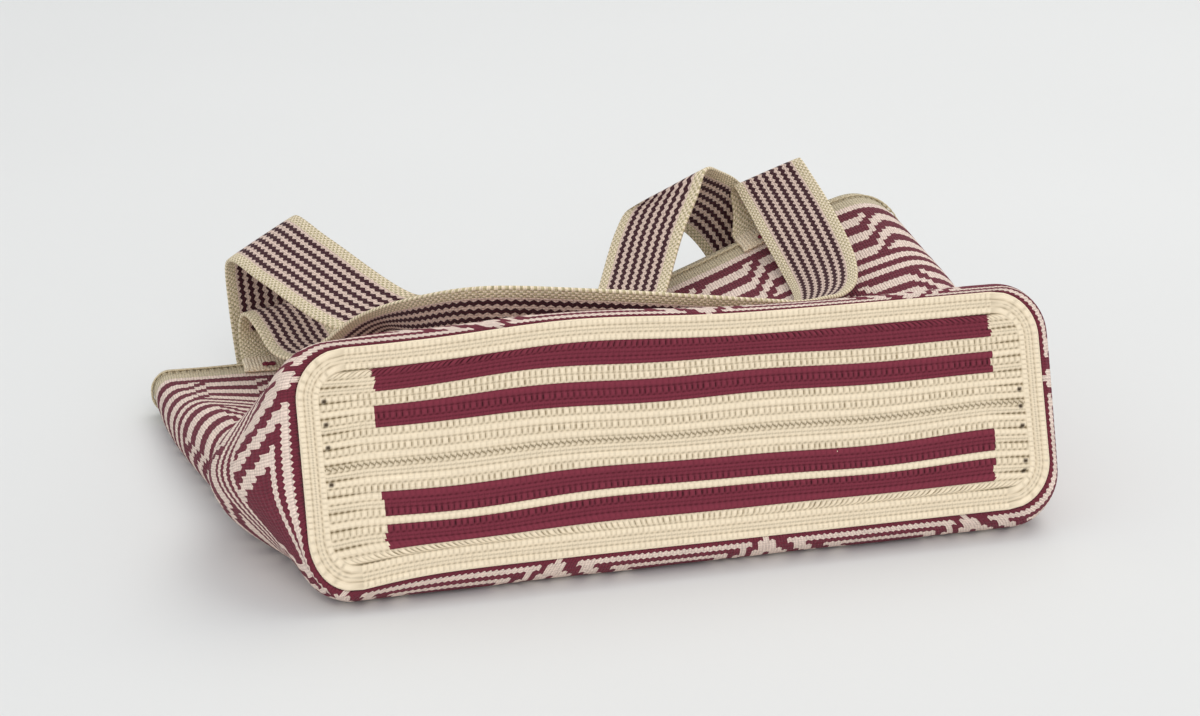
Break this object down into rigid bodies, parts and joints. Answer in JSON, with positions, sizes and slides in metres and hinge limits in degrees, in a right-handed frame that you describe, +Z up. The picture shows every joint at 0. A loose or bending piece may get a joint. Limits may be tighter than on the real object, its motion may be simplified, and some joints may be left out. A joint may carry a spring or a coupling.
{
  "type": "crocheted tote bag",
  "caption": "Crocheted tote bag lying down with its flat striped base at the front, soft walls sagging to an open mouth, and woven shoulder straps sewn to the rim through ribbed tabs.",
  "frame": {"origin": "on the surface the bag lies on, under the middle of its overall box", "axes": "+X along the base from its left to its right as seen from the front, +Y from the base towards the mouth, +Z up"},
  "size_m": [0.471, 0.35, 0.1363],
  "materials": {
    "crochet": "matte cream cotton crochet with burgundy stripes and stepped motif",
    "woven_band": "matte woven band, maroon zigzag lines on rose cream between cream borders",
    "ribbed_tab": "matte cream ribbed crochet"
  },
  "bodies": {
    "root": {"bag_body": "crochet", "front_strap": "woven_band", "back_strap": "woven_band", "front_left_tab": "ribbed_tab", "front_right_tab": "ribbed_tab", "back_left_tab": "ribbed_tab", "back_right_tab": "ribbed_tab"}
  },
  "joints": []
}
